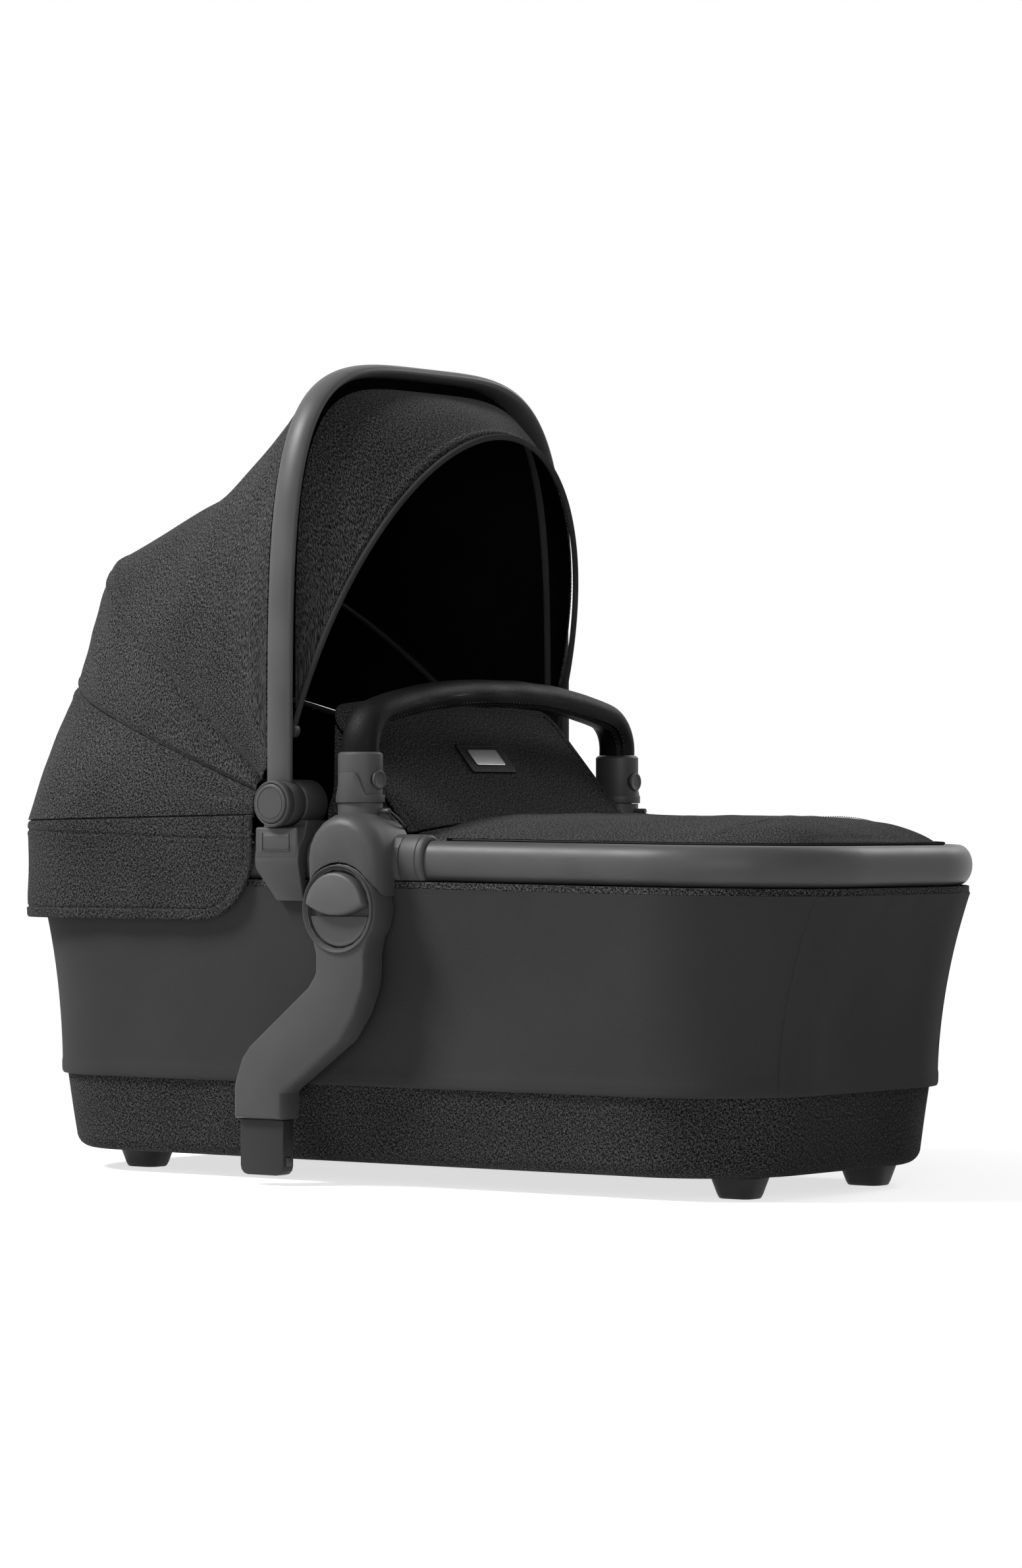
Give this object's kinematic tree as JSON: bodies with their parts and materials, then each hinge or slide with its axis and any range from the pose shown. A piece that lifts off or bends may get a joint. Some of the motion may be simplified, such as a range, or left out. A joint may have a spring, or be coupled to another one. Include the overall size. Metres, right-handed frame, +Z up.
{
  "type": "carrycot",
  "caption": "Carrycot for a pushchair chassis with a folding hood and flip visor, a lift-off carry handle, an apron with a raised wind flap, and plug-on side adaptors.",
  "frame": {"origin": "centre of the bounding box at the bottom of the four feet", "axes": "+X towards the foot end, +Y to the left, +Z up"},
  "size_m": [0.874, 0.48, 0.7245],
  "materials": {
    "charcoal_plastic": "matt moulded, fine texture",
    "powder_coated_metal": "satin powder coat",
    "softshell": "smooth tightly knitted softshell",
    "melange_twill": "dark melange twill weave",
    "lining_fabric": "plain black lining",
    "leather": "fine grained leatherette with sewn seams",
    "dark_plastic": "moulded",
    "steel": "satin",
    "mattress_cover": "quilted cotton"
  },
  "bodies": {
    "root": {"base_fabric": "melange_twill", "base_shell": "dark_plastic", "foot_head_left": "dark_plastic", "foot_head_right": "dark_plastic", "foot_front_left": "dark_plastic", "foot_front_right": "dark_plastic", "side_fabric": "softshell", "rim_binding": "melange_twill", "tub_wall": "dark_plastic", "lining": "lining_fabric", "mattress": "mattress_cover", "front_rail": "powder_coated_metal", "rear_rail": "powder_coated_metal", "front_collar_left": "charcoal_plastic", "front_collar_right": "charcoal_plastic", "hub_left": "charcoal_plastic", "hub_right": "charcoal_plastic", "bracket_left": "charcoal_plastic", "bracket_right": "charcoal_plastic", "hinge_housing_left": "charcoal_plastic", "hinge_housing_right": "charcoal_plastic", "hinge_pin_left": "steel", "hinge_pin_right": "steel", "hood_skirt": "melange_twill", "hood_panel_rear": "melange_twill", "apron": "melange_twill", "apron_band": "lining_fabric", "flap_wing_left": "melange_twill", "flap_wing_right": "melange_twill"},
    "rear_bow": {"rear_bow": "steel", "hood_panel_mid": "melange_twill"},
    "mid_bow": {"mid_bow": "steel", "hood_panel_front": "melange_twill"},
    "front_bow": {"front_bow": "powder_coated_metal", "bow_foot_left": "charcoal_plastic", "bow_foot_right": "charcoal_plastic"},
    "visor": {"visor_wire": "steel", "visor_fabric": "melange_twill"},
    "handle": {"handle_bar": "leather", "handle_sleeve_left": "charcoal_plastic", "handle_sleeve_right": "charcoal_plastic", "sleeve_ring_left": "dark_plastic", "sleeve_ring_right": "dark_plastic"},
    "flap": {"wind_flap": "melange_twill", "label_patch": "leather", "label_plate": "steel"},
    "hinge_button_left": {"hinge_button_left": "charcoal_plastic"},
    "handle_button_left": {"handle_button_left": "charcoal_plastic"},
    "adaptor_left": {"adaptor_arm_left": "charcoal_plastic", "plug_left": "dark_plastic", "knob_rim_left": "powder_coated_metal"},
    "release_paddle_left": {"release_paddle_left": "charcoal_plastic"},
    "plug_catch_left": {"plug_catch_left": "charcoal_plastic"},
    "hinge_button_right": {"hinge_button_right": "charcoal_plastic"},
    "handle_button_right": {"handle_button_right": "charcoal_plastic"},
    "adaptor_right": {"adaptor_arm_right": "charcoal_plastic", "plug_right": "dark_plastic", "knob_rim_right": "powder_coated_metal"},
    "release_paddle_right": {"release_paddle_right": "charcoal_plastic"},
    "plug_catch_right": {"plug_catch_right": "charcoal_plastic"}
  },
  "joints": [
    {"name": "hood_fold", "type": "hinge", "parent": "mid_bow", "child": "front_bow", "pos_m": [-0.077, 0, 0.3315], "axis": [0, 1, 0], "range_deg": [-37, 0], "deforming": ["hood_panel_front"]},
    {"name": "mid_bow_fold", "type": "hinge", "parent": "rear_bow", "child": "mid_bow", "pos_m": [-0.077, 0, 0.3315], "axis": [0, 1, 0], "range_deg": [-15, 0], "deforming": ["hood_panel_mid"]},
    {"name": "rear_bow_fold", "type": "hinge", "parent": "root", "child": "rear_bow", "pos_m": [-0.077, 0, 0.3315], "axis": [0, 1, 0], "range_deg": [-16, 0], "deforming": ["hood_panel_rear"]},
    {"name": "visor_flip", "type": "hinge", "parent": "front_bow", "child": "visor", "pos_m": [-0.077, 0, 0.395], "axis": [0, 1, 0], "range_deg": [-30, 0], "deforming": ["visor_fabric"]},
    {"name": "handle_lift", "type": "slide", "parent": "root", "child": "handle", "axis": [0, 0, 1], "range_m": [0, 0.035]},
    {"name": "flap_fold", "type": "hinge", "parent": "root", "child": "flap", "pos_m": [0.03257, 0, 0.3175], "axis": [0, 1, 0], "range_deg": [0, 110], "deforming": ["wind_flap", "flap_wing_left", "flap_wing_right"]},
    {"name": "hinge_button_press_left", "type": "slide", "parent": "front_bow", "child": "hinge_button_left", "axis": [0, -1, 0], "range_m": [0, 0.003], "stiffness_N_per_m": 400},
    {"name": "handle_button_press_left", "type": "slide", "parent": "handle", "child": "handle_button_left", "axis": [-1, 0, 0], "range_m": [0, 0.002], "stiffness_N_per_m": 400},
    {"name": "adaptor_slide_left", "type": "slide", "parent": "root", "child": "adaptor_left", "axis": [0, 0, -1], "range_m": [0, 0.04]},
    {"name": "paddle_lift_left", "type": "hinge", "parent": "adaptor_left", "child": "release_paddle_left", "pos_m": [0.006, 0.2269, 0.27053], "axis": [1, 0, 0], "range_deg": [0, 12], "stiffness_Nm_per_rad": 0.3},
    {"name": "catch_press_left", "type": "slide", "parent": "adaptor_left", "child": "plug_catch_left", "axis": [-1, 0, 0], "range_m": [0, 0.0025], "stiffness_N_per_m": 300},
    {"name": "hinge_button_press_right", "type": "slide", "parent": "front_bow", "child": "hinge_button_right", "axis": [0, 1, 0], "range_m": [0, 0.003], "stiffness_N_per_m": 400},
    {"name": "handle_button_press_right", "type": "slide", "parent": "handle", "child": "handle_button_right", "axis": [-1, 0, 0], "range_m": [0, 0.002], "stiffness_N_per_m": 400},
    {"name": "adaptor_slide_right", "type": "slide", "parent": "root", "child": "adaptor_right", "axis": [0, 0, -1], "range_m": [0, 0.04]},
    {"name": "paddle_lift_right", "type": "hinge", "parent": "adaptor_right", "child": "release_paddle_right", "pos_m": [0.006, -0.2269, 0.27053], "axis": [-1, 0, 0], "range_deg": [0, 12], "stiffness_Nm_per_rad": 0.3},
    {"name": "catch_press_right", "type": "slide", "parent": "adaptor_right", "child": "plug_catch_right", "axis": [-1, 0, 0], "range_m": [0, 0.0025], "stiffness_N_per_m": 300}
  ],
  "couplings": [
    {"joint": "mid_bow_fold", "follows": "hood_fold", "ratio": 0.4054},
    {"joint": "rear_bow_fold", "follows": "hood_fold", "ratio": 0.4324}
  ]
}
